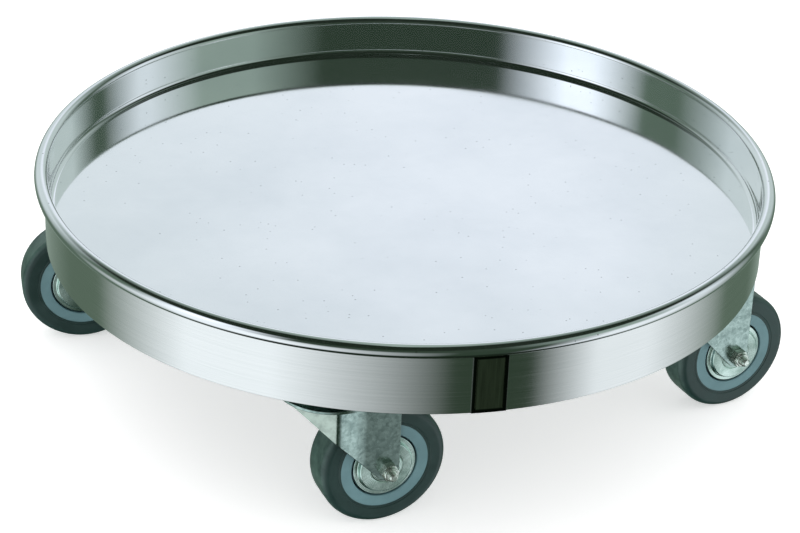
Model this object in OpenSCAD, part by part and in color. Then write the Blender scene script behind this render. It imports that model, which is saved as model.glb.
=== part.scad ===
/* [Tray] */
// Diameter over the rolled rim
rim_d = 610; // [600:1:700]
// Height of the rolled rim's top above the floor
overall_h = 198.5; // [194:0.5:206]
// Diameter of the rolled rim's section
bead_d = 11; // [10:0.5:13]
// Height of the deck's top face above the floor
deck_z = 163.5; // [161:0.5:170]
// Inside radius between the deck and the tray wall
fillet_r = 5; // [3:0.5:10]
// Thickness of the tray sheet
tray_t = 1.5; // [1:0.1:2]
// Thickness of the outer skirt band
skirt_t = 1.5; // [1:0.1:2]
// Thickness of the strap over the skirt's butt joint
strap_t = 1.2; // [0.8:0.1:2]
// Width of that strap
strap_w = 27; // [20:1:45]
// Direction of the strap as seen from the middle of the tray
strap_heading = -110; // [-180:1:180]

/* [Underframe] */
// Height of the skirt's lower edge and of the faces that the casters bolt to
mount_z = 137.5; // [137.5:0.5:139]
// Distance from the middle of the tray to each swivel axis
swivel_r = 244; // [230:1:244]
// Width of the cross beams
beam_w = 30; // [20:1:32]
// Wall of the cross beams
beam_wall = 2; // [1.5:0.1:3]
// Thickness of the caster pads
pad_t = 4; // [3:0.5:5]

/* [Caster plate] */
// Length of the plate, across the beam
plate_l = 95; // [92:1:100]
// Width of the plate, along the beam
plate_w = 70; // [66:1:76]
// Thickness of the plate
plate_t = 2.5; // [2:0.1:3]
// Hole spacing across the beam
bolt_l = 75; // [74:1:80]
// Hole spacing along the beam
bolt_w = 45; // [45:1:50]
// Diameter of the mounting bolts
mount_bolt_d = 8; // [8:1:8]

/* [Fork] */
// Distance that the axle trails behind the swivel axis
trail = 40; // [38:0.5:41]
// Clear gap between the fork's legs
fork_gap = 37.6; // [37.6:0.1:39]
// Thickness of the fork's sheet
fork_t = 2.5; // [2:0.1:3]
// Radius of the fork's round head
head_r = 44; // [43:0.5:46]
// Radius of the fork's foot round the axle
foot_r = 10; // [9:0.5:11]

/* [Wheel] */
// Diameter of the wheel
wheel_d = 104; // [100:0.5:104]
// Width of the tyre
tyre_w = 31; // [29:0.5:31]
// Radius where the tyre meets the hub
hub_r = 36.5; // [35:0.5:38.5]
// Radius of the recess in the hub's face
recess_r = 27.5; // [27:0.5:29]
// Diameter of the axle bolt
axle_d = 8; // [8:1:8]

/* [Hidden] */
$fn = 96;
CORNERS = ["rear_right", "rear_left", "front_left", "front_right"];
TRAY_PIECES = ["tray_pan", "rim_wire", "skirt_band", "joint_strap", "long_beam", "short_beams",
    "caster_pads", "mounting_bolts", "mounting_washers", "mounting_nuts"];
CASTER_PIECES = ["top_plate", "kingpin", "lower_race", "bearing_balls", "fork", "axle_bolt",
    "axle_nut", "axle_sleeve", "dust_covers", "wheel_hub", "wheel_bearings", "tyre"];

// which way each wheel trails at rest, in the order of CORNERS
headings = [20, 159, -9, -4];
fit = 0.05;   // radial clearance of a running fit
gap = 0.3;    // clearance between pieces that don't touch
zinc = "lightgrey";

// rolled rim and tray wall
bead_r = bead_d / 2;
bead_x = rim_d / 2 - bead_r;
bead_z = overall_h - bead_r;
wall_in = bead_x - bead_r;
curl_in = bead_r - tray_t;
skirt_in = wall_in + tray_t + gap;
skirt_out = skirt_in + skirt_t;
strap_out = skirt_out + strap_t;
// the band and the strap stop this far below the curl's own section
skirt_top = bead_z - sqrt(bead_r * bead_r - pow(skirt_out - bead_x, 2)) - gap;
strap_top = bead_z - bead_r - gap;

// underframe, from the casters' mounting faces up to the deck
pad_top = mount_z + pad_t;
beam_top = deck_z - tray_t;
beam_end = skirt_in - 6;
hex_af = 13;          // spanner size of every bolt and nut
hex_r = hex_af / sqrt(3);
bolt_head_h = 5.3;
washer_t = 1.6;
nut_h = 6.5;

// swivel head, measured down from the caster's mounting face
plate_z = mount_z - plate_t;
dish_r = 30;
dish_depth = 3.5;
dish_z = plate_z - dish_depth;
ball_r = 3;
ball_track = 24;
ball_z = dish_z - 2;
ball_count = 18;
fork_top = dish_z - 4;
fork_under = fork_top - fork_t;
pin_r = 6;
small_ball_r = 2.5;
small_track = 13;
small_ball_z = fork_under - 1.9;
small_count = 12;
race_top = fork_under - 3.3;
race_t = 3.4;
race_r = 18;
rivet_h = 3;

// wheel and axle
axle_z = wheel_d / 2;
axle_r = axle_d / 2;
leg_in = fork_gap / 2;
leg_out = leg_in + fork_t;
cover_t = 1;
cover_in = leg_in - cover_t - 0.1;
cover_rim_in = tyre_w / 2 - 1.4;
cover_r = recess_r - 1.5;
sleeve_r = 6;
boss_r = 19.5;
boss_w = cover_in - 0.7;
bearing_r = 16;
bearing_in = boss_w - 10;
collar_h = 2.5;
bolt_tip = leg_out + nut_h + collar_h + 5;

// places its children at a corner, turned with the caster's plate
module at_plate(i) {
    rotate([0, 0, 45 + 90 * i]) translate([swivel_r, 0, 0]) children();
}

// places its children at a corner, with +X the way the wheel trails
module at_swivel(i) {
    azimuth = 45 + 90 * i;
    translate([swivel_r * cos(azimuth), swivel_r * sin(azimuth), 0])
        rotate([0, 0, headings[i]]) children();
}

// turns a profile of radius and width about the wheel's axle, which runs along Y
module about_axle() {
    translate([trail, 0, axle_z]) rotate([90, 0, 0]) rotate_extrude() children();
}

// a profile drawn for one side of the wheel, and its mirror image
module both_sides() {
    children();
    mirror([0, 1]) children();
}

// the four hole places of a caster plate
module at_holes() {
    for (x = [-1, 1]) for (y = [-1, 1]) translate([x * bolt_w / 2, y * bolt_l / 2, 0]) children();
}

module ring(r_in, r_out, z, h) {
    translate([0, 0, z]) difference() {
        cylinder(r = r_out, h = h);
        translate([0, 0, -1]) cylinder(r = r_in, h = h + 2);
    }
}

module ball_groove(track, z, r) {
    translate([0, 0, z]) rotate_extrude() translate([track, 0]) circle(r = r + 0.1);
}

module balls(track, z, r, count) {
    for (k = [0 : count - 1]) rotate([0, 0, 360 * k / count]) translate([track, 0, z]) sphere(r = r);
}

// ---- tray ----

// section of the sheet: deck, rounded corner, wall and the curl that ends it
module pan_section() {
    corner = [wall_in - fillet_r, deck_z + fillet_r];
    translate([0, beam_top]) square([corner.x, tray_t]);
    intersection() {
        translate(corner) difference() {
            circle(r = fillet_r + tray_t);
            circle(r = fillet_r);
        }
        translate([corner.x, beam_top]) square(corner.y - beam_top);
    }
    translate([wall_in, corner.y]) square([tray_t, bead_z - corner.y]);
    translate([bead_x, bead_z]) difference() {
        circle(r = bead_r);
        circle(r = curl_in);
        polygon([[0, 0], [-1.5 * bead_r, -0.08 * bead_r], [-1.5 * bead_r, -1.7 * bead_r]]);
    }
}

module tray_pan() {
    color("gainsboro") rotate_extrude($fn = 180) pan_section();
}

module rim_wire() {
    color("silver") rotate_extrude($fn = 180) translate([bead_x, bead_z]) circle(r = curl_in - gap);
}

module skirt_band() {
    color("lightsteelblue") ring(skirt_in, skirt_out, mount_z, skirt_top - mount_z, $fn = 180);
}

module joint_strap() {
    sweep = strap_w / strap_out * 180 / PI;
    color("dimgrey") rotate([0, 0, strap_heading - sweep / 2]) rotate_extrude(angle = sweep, $fn = 180)
        translate([skirt_out, mount_z + gap]) square([strap_t, strap_top - mount_z - gap]);
}

// ---- underframe ----

// a box-section beam along X, from x_start to the skirt
module beam(x_start) {
    length = beam_end - x_start;
    height = beam_top - pad_top;
    translate([x_start, -beam_w / 2, pad_top]) difference() {
        cube([length, beam_w, height]);
        translate([-1, beam_wall, beam_wall])
            cube([length + 2, beam_w - 2 * beam_wall, height - 2 * beam_wall]);
    }
}

module long_beam() {
    color("darkgrey") rotate([0, 0, 45]) beam(-beam_end);
}

module short_beams() {
    color("darkgrey") for (side = [135, 315]) rotate([0, 0, side]) beam(beam_w / 2);
}

module caster_pads() {
    color("grey") for (i = [0 : 3]) at_plate(i) difference() {
        translate([-plate_w / 2, -plate_l / 2, mount_z]) cube([plate_w, plate_l, pad_t]);
        at_holes() translate([0, 0, mount_z - 1]) cylinder(r = mount_bolt_d / 2 + 0.25, h = pad_t + 2);
    }
}

module mounting_bolts() {
    shank = plate_t + pad_t + washer_t + nut_h + 2;
    color(zinc) for (i = [0 : 3]) at_plate(i) at_holes() translate([0, 0, plate_z]) {
        cylinder(r = mount_bolt_d / 2, h = shank);
        translate([0, 0, -bolt_head_h]) cylinder(r = hex_r, h = bolt_head_h, $fn = 6);
    }
}

module mounting_washers() {
    color(zinc) for (i = [0 : 3]) at_plate(i) at_holes()
        ring(mount_bolt_d / 2 + 0.2, 7.2, pad_top, washer_t);
}

module mounting_nuts() {
    color(zinc) for (i = [0 : 3]) at_plate(i) at_holes()
        translate([0, 0, pad_top + washer_t]) difference() {
            cylinder(r = hex_r, h = nut_h, $fn = 6);
            translate([0, 0, -1]) cylinder(r = mount_bolt_d / 2 + fit, h = nut_h + 2);
        }
}

// ---- caster: swivel head ----

module top_plate() {
    color(zinc) difference() {
        union() {
            translate([-plate_w / 2, -plate_l / 2, plate_z]) cube([plate_w, plate_l, plate_t]);
            translate([0, 0, dish_z]) cylinder(r = dish_r, h = dish_depth + 1);
        }
        translate([0, 0, dish_z + plate_t]) cylinder(r = dish_r - plate_t, h = dish_depth + 1);
        translate([0, 0, dish_z - 1]) cylinder(r = pin_r + fit, h = plate_t + 2);
        ball_groove(ball_track, ball_z, ball_r);
        at_holes() translate([0, 0, plate_z - 1]) cylinder(r = mount_bolt_d / 2 + 0.25, h = plate_t + 2);
    }
}

module kingpin() {
    head_z = dish_z + plate_t + 0.1;
    foot_z = race_top - race_t - rivet_h - 0.1;
    color("silver") {
        translate([0, 0, foot_z]) cylinder(r = pin_r, h = head_z + rivet_h - foot_z);
        translate([0, 0, head_z]) cylinder(r = 11, h = mount_z - 0.3 - head_z);
        translate([0, 0, foot_z]) cylinder(r = 9.5, h = rivet_h);
    }
}

module lower_race() {
    color("silver") difference() {
        ring(pin_r + fit, race_r, race_top - race_t, race_t);
        ball_groove(small_track, small_ball_z, small_ball_r);
    }
}

module bearing_balls() {
    color("white") {
        balls(ball_track, ball_z, ball_r, ball_count);
        balls(small_track, small_ball_z, small_ball_r, small_count);
    }
}

// ---- caster: fork ----

// outline of a leg seen along the axle: upright at the back, slanting to the head's front edge
module leg_side() {
    slant = 47.5;
    foot = [trail + foot_r * cos(180 + 90 - slant), axle_z + foot_r * sin(180 + 90 - slant)];
    top = fork_top - fork_t / 2;
    translate([trail, axle_z]) circle(r = foot_r);
    polygon([foot, [foot.x - (top - foot.y) / tan(slant), top], [trail + foot_r, top],
        [trail + foot_r, axle_z]]);
}

// line of a leg seen from above: flat beside the wheel, then bulged, then drawn in to the head
module leg_plan() {
    bulge = 3;
    front_x = 3 - head_r;
    line = [[trail + foot_r, leg_out], [17, leg_out], [-3, leg_out + bulge], [front_x, 12]];
    inner = [for (k = [3 : -1 : 0]) [line[k].x, line[k].y - fork_t]];
    polygon(concat(line, inner));
}

module leg() {
    intersection() {
        translate([0, 0, axle_z - foot_r - 1]) linear_extrude(height = fork_top - axle_z + foot_r)
            leg_plan();
        rotate([90, 0, 0]) translate([0, 0, -head_r]) linear_extrude(height = 2 * head_r) leg_side();
    }
}

module fork() {
    color(zinc) difference() {
        union() {
            leg();
            mirror([0, 1, 0]) leg();
            translate([0, 0, fork_under]) linear_extrude(height = fork_t) {
                circle(r = head_r);
                translate([0, -leg_out]) square([trail + foot_r, 2 * leg_out]);
            }
        }
        translate([0, 0, fork_under - 1]) cylinder(r = pin_r + 1, h = fork_t + 2);
        translate([trail, leg_out + 1, axle_z]) rotate([90, 0, 0])
            cylinder(r = axle_r + 0.1, h = 2 * leg_out + 2);
        ball_groove(ball_track, ball_z, ball_r);
        ball_groove(small_track, small_ball_z, small_ball_r);
    }
}

// ---- caster: axle ----

module axle_bolt() {
    chamfer = 1;
    color("silver") {
        about_axle() polygon([[0, -leg_out - 0.1], [axle_r, -leg_out - 0.1], [axle_r, bolt_tip - chamfer],
            [axle_r - chamfer, bolt_tip], [0, bolt_tip]]);
        translate([trail, leg_out + 0.1 + bolt_head_h, axle_z]) rotate([90, 0, 0])
            cylinder(r = hex_r, h = bolt_head_h, $fn = 6);
    }
}

module axle_nut() {
    color("silver") difference() {
        union() {
            translate([trail, -leg_out, axle_z]) rotate([90, 0, 0]) cylinder(r = hex_r, h = nut_h, $fn = 6);
            translate([trail, -leg_out - nut_h, axle_z]) rotate([90, 0, 0]) cylinder(r = 5.8, h = collar_h);
        }
        translate([trail, 0, axle_z]) rotate([90, 0, 0]) cylinder(r = axle_r + fit, h = bolt_tip);
    }
}

module axle_sleeve() {
    half = cover_in - fit;
    color("silver") about_axle() translate([axle_r + 0.1, -half])
        square([sleeve_r - axle_r - 0.1, 2 * half]);
}

module dust_covers() {
    rim = cover_rim_in;
    out = cover_in + cover_t;
    color("whitesmoke") about_axle() both_sides() polygon([[axle_r + 0.2, cover_in],
        [boss_r + 1.1, cover_in], [boss_r + 2.4, rim], [cover_r, rim], [cover_r, rim + cover_t],
        [boss_r + 3.2, rim + cover_t], [boss_r + 1.9, out], [axle_r + 0.2, out]]);
}

// ---- caster: wheel ----

module wheel_hub() {
    web = 4;
    color("slategrey") about_axle() difference() {
        union() {
            translate([recess_r, 0.2 - tyre_w / 2]) square([hub_r - recess_r, tyre_w - 0.4]);
            translate([sleeve_r + 2, -web]) square([recess_r - sleeve_r - 1, 2 * web]);
            translate([sleeve_r + 2, -boss_w]) square([boss_r - sleeve_r - 2, 2 * boss_w]);
        }
        both_sides() translate([0, bearing_in]) square([bearing_r, boss_w]);
    }
}

module wheel_bearings() {
    shield = 0.6;
    width = boss_w - 0.1 - bearing_in;
    color("silver") about_axle() both_sides() translate([0, bearing_in]) difference() {
        translate([sleeve_r + fit, 0]) square([bearing_r - fit - sleeve_r - fit, width]);
        translate([8.5, width - shield]) square([4.5, 2 * shield]);
    }
}

module tyre() {
    shoulder = 6;
    half = tyre_w / 2;
    outer = wheel_d / 2;
    color("dimgrey") about_axle() difference() {
        translate([hub_r, -half]) square([outer - hub_r, tyre_w]);
        both_sides() translate([outer - shoulder, half - shoulder]) difference() {
            square(shoulder + 1);
            circle(r = shoulder);
        }
    }
}

tray_pan();
rim_wire();
skirt_band();
joint_strap();
long_beam();
short_beams();
caster_pads();
mounting_bolts();
mounting_washers();
mounting_nuts();
for (i = [0 : 3]) {
    at_plate(i) top_plate();
    at_plate(i) kingpin();
    at_plate(i) lower_race();
    at_swivel(i) bearing_balls();
    at_swivel(i) fork();
    at_swivel(i) axle_bolt();
    at_swivel(i) axle_nut();
    at_swivel(i) axle_sleeve();
    at_swivel(i) dust_covers();
    at_swivel(i) wheel_hub();
    at_swivel(i) wheel_bearings();
    at_swivel(i) tyre();
}
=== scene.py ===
"""Round drum dolly: the visible pieces, their finishes and a plain studio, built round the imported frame."""

import logging
import math
from dataclasses import dataclass, field
from enum import Enum
from typing import Iterable, Sequence

import bmesh
import bpy
from mathutils import Matrix, Vector


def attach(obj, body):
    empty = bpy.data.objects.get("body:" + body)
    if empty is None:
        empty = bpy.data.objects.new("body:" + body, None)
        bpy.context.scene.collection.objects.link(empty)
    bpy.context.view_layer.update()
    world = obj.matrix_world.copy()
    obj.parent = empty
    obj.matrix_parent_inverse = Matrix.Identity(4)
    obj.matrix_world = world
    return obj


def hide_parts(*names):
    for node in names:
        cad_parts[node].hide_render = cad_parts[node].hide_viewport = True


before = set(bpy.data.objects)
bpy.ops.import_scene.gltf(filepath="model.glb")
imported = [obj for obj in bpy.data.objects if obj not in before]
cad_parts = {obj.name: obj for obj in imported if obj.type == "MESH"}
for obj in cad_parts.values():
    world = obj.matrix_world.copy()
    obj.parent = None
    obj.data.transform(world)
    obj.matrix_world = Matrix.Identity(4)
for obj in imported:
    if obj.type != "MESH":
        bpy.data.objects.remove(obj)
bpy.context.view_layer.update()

MM = 0.001
AXLE_DISTANCE = "axle_distance"
# attribute that marks the fork's front wings for a painted highlight
PAINTED_HIGHLIGHT = "painted_highlight"
# attribute that marks the strap's border for painted shade
PAINTED_EDGE_SHADE = "painted_edge_shade"
SHARP_ANGLE = math.radians(32)
THREAD_PITCH = 1.25
LOG = logging.getLogger("drum_dolly")

Mesh = bmesh.types.BMesh
Point = tuple[float, float]
Colour = tuple[float, float, float]


class Corner(Enum):
    """A caster's place: its name, the direction of its corner and the way its wheel trails, in degrees."""

    REAR_RIGHT = ("rear_right", 45.0, 20.0)
    REAR_LEFT = ("rear_left", 135.0, 159.0)
    FRONT_LEFT = ("front_left", 225.0, -9.0)
    FRONT_RIGHT = ("front_right", 315.0, -4.0)

    @property
    def label(self) -> str:
        """Name of the corner."""
        return self.value[0]

    @property
    def azimuth(self) -> float:
        """Direction of the corner from the middle of the tray, in radians."""
        return math.radians(self.value[1])

    @property
    def heading(self) -> float:
        """Direction in which the wheel trails, in radians."""
        return math.radians(self.value[2])


class Body(Enum):
    """The moving bodies that a caster's pieces ride on."""

    TRAY = "tray"
    SWIVEL = "swivel"
    WHEEL = "wheel"

    def at(self, corner: Corner) -> str:
        """Name of this body at a corner."""
        return self.value if self is Body.TRAY else f"{corner.label}_{self.value}"


# ---------------------------------------------------------------- shaping


def section(points: Sequence[Point], rounding: dict[int, float] | None = None, segments: int = 4) -> Mesh:
    """Draws a closed section in the XZ plane and rounds some of its corners.

    Args:
        points: the corners as (radius, height), in millimetres, in order.
        rounding: the radius of each rounded corner by its place in points.
        segments: how many edges each rounded corner has.

    Returns:
        A bmesh that holds one flat face.
    """
    bm = bmesh.new()
    verts = [bm.verts.new((x * MM, 0, z * MM)) for x, z in points]
    bm.faces.new(verts)
    for place, radius in (rounding or {}).items():
        bmesh.ops.bevel(bm, geom=[verts[place]], offset=radius * MM, offset_type="OFFSET",
                        segments=segments, profile=0.5, affect="VERTICES", material=-1)
    return bm


def spin_round(bm: Mesh, steps: int) -> None:
    """Spins the edges of a bmesh once round the Z axis and closes the seam and the poles.

    Args:
        bm: the bmesh, which holds a section's edges.
        steps: how many steps the turn takes.
    """
    bmesh.ops.delete(bm, geom=bm.faces[:], context="FACES_ONLY")
    bmesh.ops.spin(bm, geom=bm.verts[:] + bm.edges[:], cent=(0, 0, 0), axis=(0, 0, 1), dvec=(0, 0, 0),
                   angle=math.tau, steps=steps, use_merge=True, use_normal_flip=False,
                   use_duplicate=False)
    bmesh.ops.remove_doubles(bm, verts=bm.verts[:], dist=0.002 * MM)
    bmesh.ops.dissolve_degenerate(bm, dist=0.001 * MM, edges=bm.edges[:])
    bmesh.ops.recalc_face_normals(bm, faces=bm.faces[:])


def turned(points: Sequence[Point], rounding: dict[int, float] | None = None, steps: int = 72,
           segments: int = 4) -> Mesh:
    """Turns a closed section of (radius, height) millimetres round the Z axis, as on a lathe.

    Args:
        points: the section's corners in order.
        rounding: the radius of each rounded corner by its place in points.
        steps: how many steps the turn takes.
        segments: how many edges each rounded corner has.

    Returns:
        The turned solid.
    """
    bm = section(points, rounding, segments)
    spin_round(bm, steps)
    return bm


def extruded(outlines: Sequence[Sequence[Point]], bottom: float, height: float) -> Mesh:
    """Fills flat outlines, the first outside and the others as holes, and gives them a height.

    Args:
        outlines: closed loops of (x, y) millimetres.
        bottom: the height of the lower face.
        height: how far the shape rises from it.

    Returns:
        The solid plate.
    """
    bm = bmesh.new()
    for outline in outlines:
        verts = [bm.verts.new((x * MM, y * MM, bottom * MM)) for x, y in outline]
        for a, b in zip(verts, verts[1:] + verts[:1]):
            bm.edges.new((a, b))
    bmesh.ops.triangle_fill(bm, use_beauty=True, use_dissolve=False, edges=bm.edges[:])
    made = bmesh.ops.extrude_face_region(bm, geom=bm.faces[:])
    raised = [g for g in made["geom"] if isinstance(g, bmesh.types.BMVert)]
    bmesh.ops.translate(bm, verts=raised, vec=(0, 0, height * MM))
    bmesh.ops.recalc_face_normals(bm, faces=bm.faces[:])
    return bm


def circle_line(radius: float, centre: Point = (0, 0), count: int = 32, start: float = 0.0) -> list[Point]:
    """Points of a circle in millimetres.

    Args:
        radius: the circle's radius.
        centre: its middle.
        count: how many points it has.
        start: the angle of the first point, in degrees.

    Returns:
        The points in order.
    """
    arm = Vector((radius, 0)).to_3d()
    spots = [Matrix.Rotation(math.radians(start) + math.tau * k / count, 3, "Z") @ arm for k in range(count)]
    return [(centre[0] + p.x, centre[1] + p.y) for p in spots]


def rounded_plate_line(length: float, width: float, radius: float, count: int = 6) -> list[Point]:
    """Points of a rectangle with round corners, centred on the origin, in millimetres.

    Args:
        length: its size along X.
        width: its size along Y.
        radius: the radius of its corners.
        count: how many edges each corner has.

    Returns:
        The points in order.
    """
    line: list[Point] = []
    for quarter, (sx, sy) in enumerate(((1, 1), (-1, 1), (-1, -1), (1, -1))):
        middle = (sx * (length / 2 - radius), sy * (width / 2 - radius))
        arc = circle_line(radius, middle, 4 * count, 90.0 * quarter)
        line += arc[: count + 1]
    return line


def merged(parts: Iterable[Mesh]) -> Mesh:
    """Puts several solids in one bmesh and frees them.

    Args:
        parts: the solids, which are freed.

    Returns:
        One bmesh that holds them all.
    """
    whole = bmesh.new()
    for part in parts:
        scratch = bpy.data.meshes.new("scratch")
        part.to_mesh(scratch)
        part.free()
        whole.from_mesh(scratch)
        bpy.data.meshes.remove(scratch)
    return whole


def placed(bm: Mesh, *matrices: Matrix) -> Mesh:
    """Copies of a solid, one at each matrix, in one bmesh.

    Args:
        bm: the solid, which is freed.
        matrices: where each copy goes.

    Returns:
        One bmesh that holds the copies.
    """
    scratch = bpy.data.meshes.new("scratch")
    bm.to_mesh(scratch)
    bm.free()
    whole = bmesh.new()
    for matrix in matrices:
        before = set(whole.verts)
        whole.from_mesh(scratch)
        bmesh.ops.transform(whole, matrix=matrix, verts=[v for v in whole.verts if v not in before])
    bpy.data.meshes.remove(scratch)
    return whole


def moved(x: float, y: float, z: float) -> Matrix:
    """A shift in millimetres."""
    return Matrix.Translation((x * MM, y * MM, z * MM))


def turn(angle: float, axis: str = "Z") -> Matrix:
    """A turn about an axis, in radians."""
    return Matrix.Rotation(angle, 4, axis)


def thread(radius: float, depth: float, pitch: float, turns: float, bottom: float) -> Mesh:
    """A screw thread: a small ridge wound round the Z axis.

    Args:
        radius: the thread's outer radius, in millimetres.
        depth: how far the ridge stands out.
        pitch: its rise in one turn.
        turns: how many turns it has.
        bottom: the height at which it starts.

    Returns:
        The closed ridge.
    """
    root = radius - depth
    half = pitch * 0.42
    bm = section([(root - 0.3, bottom - half), (radius, bottom), (root - 0.3, bottom + half)])
    steps = int(turns * 20)
    bmesh.ops.spin(bm, geom=bm.verts[:] + bm.edges[:] + bm.faces[:], cent=(0, 0, 0), axis=(0, 0, 1),
                   dvec=(0, 0, pitch * turns / steps * MM), angle=math.tau * turns, steps=steps,
                   use_merge=False, use_normal_flip=False, use_duplicate=False)
    bmesh.ops.recalc_face_normals(bm, faces=bm.faces[:])
    return bm


def hexagon(across_flats: float, bottom: float, height: float, hole: float = 0.0) -> Mesh:
    """A six-sided head or nut with its corners turned off, in millimetres.

    Args:
        across_flats: the spanner size.
        bottom: the height of the lower face.
        height: how tall it is.
        hole: the radius of its bore, or 0 for none.

    Returns:
        The solid, with its axis on Z.
    """
    corner = across_flats / math.sqrt(3)
    lines = [circle_line(corner, count=6)]
    if hole:
        lines.append(circle_line(hole, count=24))
    bm = extruded(lines, bottom, height)
    rim = [e for e in bm.edges if len(e.link_faces) == 2 and e.calc_face_angle(0) > 1.2
           and all(abs(v.co.xy.length - corner * MM) < 0.01 * MM for v in e.verts)
           and abs(e.verts[0].co.z - e.verts[1].co.z) < 0.01 * MM]
    bmesh.ops.bevel(bm, geom=rim, offset=0.55 * MM, offset_type="OFFSET", segments=2, profile=0.5,
                    affect="EDGES", material=-1)
    return bm


# ---------------------------------------------------------------- finishes


class Wiring:
    """The node tree of one material, with short ways to add what the finishes share."""

    def __init__(self, name: str) -> None:
        """Makes an empty material with a Principled surface.

        Args:
            name: the material's name.
        """
        self.material = bpy.data.materials.new(name)
        self.material.use_nodes = True
        self.tree = self.material.node_tree
        self.surface = self.tree.nodes["Principled BSDF"]
        self.place = self.tree.nodes.new("ShaderNodeTexCoord").outputs["Object"]

    def link(self, source: bpy.types.NodeSocket, target: bpy.types.NodeSocket) -> None:
        """Joins two sockets."""
        self.tree.links.new(source, target)

    def stretched(self, scale: Sequence[float], source: bpy.types.NodeSocket | None = None
                  ) -> bpy.types.NodeSocket:
        """The pattern's place, scaled along each axis.

        Args:
            scale: the factors along X, Y and Z.
            source: the place to scale, or None for the piece's own.

        Returns:
            The scaled place.
        """
        node = self.tree.nodes.new("ShaderNodeMapping")
        node.inputs["Scale"].default_value = tuple(scale)
        self.link(source or self.place, node.inputs["Vector"])
        return node.outputs["Vector"]

    def noise(self, scale: float, detail: float = 3.0, roughness: float = 0.55,
              at: bpy.types.NodeSocket | None = None) -> bpy.types.NodeSocket:
        """Cloudy noise from 0 to 1.

        Args:
            scale: how fine the clouds are, per metre.
            detail: how many finer layers they have.
            roughness: how strong the finer layers are.
            at: the place it is read at, or None.

        Returns:
            The noise's value.
        """
        node = self.tree.nodes.new("ShaderNodeTexNoise")
        node.inputs["Scale"].default_value = scale
        node.inputs["Detail"].default_value = detail
        node.inputs["Roughness"].default_value = roughness
        self.link(at or self.place, node.inputs["Vector"])
        return node.outputs["Fac"]

    def cells(self, scale: float, at: bpy.types.NodeSocket | None = None) -> bpy.types.NodeSocket:
        """Distance to the middle of the nearest cell.

        Args:
            scale: how small the cells are, per metre.
            at: the place it is read at, or None.

        Returns:
            The distance, in cells.
        """
        node = self.tree.nodes.new("ShaderNodeTexVoronoi")
        node.inputs["Scale"].default_value = scale
        self.link(at or self.place, node.inputs["Vector"])
        return node.outputs["Distance"]

    def patches(self, scale: float, at: bpy.types.NodeSocket | None = None) -> bpy.types.NodeSocket:
        """A random grey for each cell, as in a spangled coating.

        Args:
            scale: how small the cells are, per metre.
            at: the place it is read at, or None.

        Returns:
            The cell's grey.
        """
        node = self.tree.nodes.new("ShaderNodeTexVoronoi")
        node.inputs["Scale"].default_value = scale
        self.link(at or self.place, node.inputs["Vector"])
        grey = self.tree.nodes.new("ShaderNodeSeparateColor")
        self.link(node.outputs["Color"], grey.inputs["Color"])
        return grey.outputs["Red"]

    def ramp(self, source: bpy.types.NodeSocket, stops: Sequence[tuple[float, Colour]]
             ) -> bpy.types.NodeSocket:
        """A colour for each value of the source.

        Args:
            source: the value, from 0 to 1.
            stops: the positions and the colours there.

        Returns:
            The colour.
        """
        node = self.tree.nodes.new("ShaderNodeValToRGB")
        elements = node.color_ramp.elements
        while len(elements) < len(stops):
            elements.new(0.5)
        for element, (position, colour) in zip(elements, stops):
            element.position = position
            element.color = (*colour, 1.0)
        self.link(source, node.inputs["Fac"])
        return node.outputs["Color"]

    def span(self, source: bpy.types.NodeSocket, low: float, high: float, start: float = 0.0,
             end: float = 1.0) -> bpy.types.NodeSocket:
        """The source, from start to end, remapped to run from low to high.

        Args:
            source: the value to remap.
            low: the result at start.
            high: the result at end.
            start: the source's low end.
            end: the source's high end.

        Returns:
            The remapped value.
        """
        node = self.tree.nodes.new("ShaderNodeMapRange")
        for socket, value in zip(("From Min", "From Max", "To Min", "To Max"), (start, end, low, high)):
            node.inputs[socket].default_value = value
        self.link(source, node.inputs["Value"])
        return node.outputs["Result"]

    def maths(self, kind: str, a: bpy.types.NodeSocket, b: bpy.types.NodeSocket | float
              ) -> bpy.types.NodeSocket:
        """A sum, product or other simple function of two values.

        Args:
            kind: the function's name.
            a: the first value.
            b: the second, a socket or a constant.

        Returns:
            The result.
        """
        node = self.tree.nodes.new("ShaderNodeMath")
        node.operation = kind
        self.link(a, node.inputs[0])
        if isinstance(b, (int, float)):
            node.inputs[1].default_value = b
        else:
            self.link(b, node.inputs[1])
        return node.outputs["Value"]

    def attribute(self, name: str) -> bpy.types.NodeSocket:
        """The value of one of the piece's own attributes.

        Args:
            name: the attribute's name.

        Returns:
            Its value at the point.
        """
        node = self.tree.nodes.new("ShaderNodeAttribute")
        node.attribute_name = name
        return node.outputs["Fac"]

    def mixed(self, share: bpy.types.NodeSocket, colour: bpy.types.NodeSocket, other: Colour
              ) -> bpy.types.NodeSocket:
        """A colour that turns to another plain one by a share.

        Args:
            share: how much of the other colour there is.
            colour: the first colour.
            other: the plain colour.

        Returns:
            The mixed colour.
        """
        node = self.tree.nodes.new("ShaderNodeMix")
        node.data_type = "RGBA"
        self.link(share, node.inputs["Factor"])
        self.link(colour, node.inputs[6])
        node.inputs[7].default_value = (*other, 1.0)
        return node.outputs[2]

    def tinted(self, colour: bpy.types.NodeSocket, by: bpy.types.NodeSocket, amount: float
               ) -> bpy.types.NodeSocket:
        """A colour multiplied by another, by a share of it.

        Args:
            colour: the first colour.
            by: what it is multiplied by.
            amount: how much of that is used.

        Returns:
            The tinted colour.
        """
        node = self.tree.nodes.new("ShaderNodeMix")
        node.data_type = "RGBA"
        node.blend_type = "MULTIPLY"
        node.inputs["Factor"].default_value = amount
        self.link(colour, node.inputs[6])
        self.link(by, node.inputs[7])
        return node.outputs[2]

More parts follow.
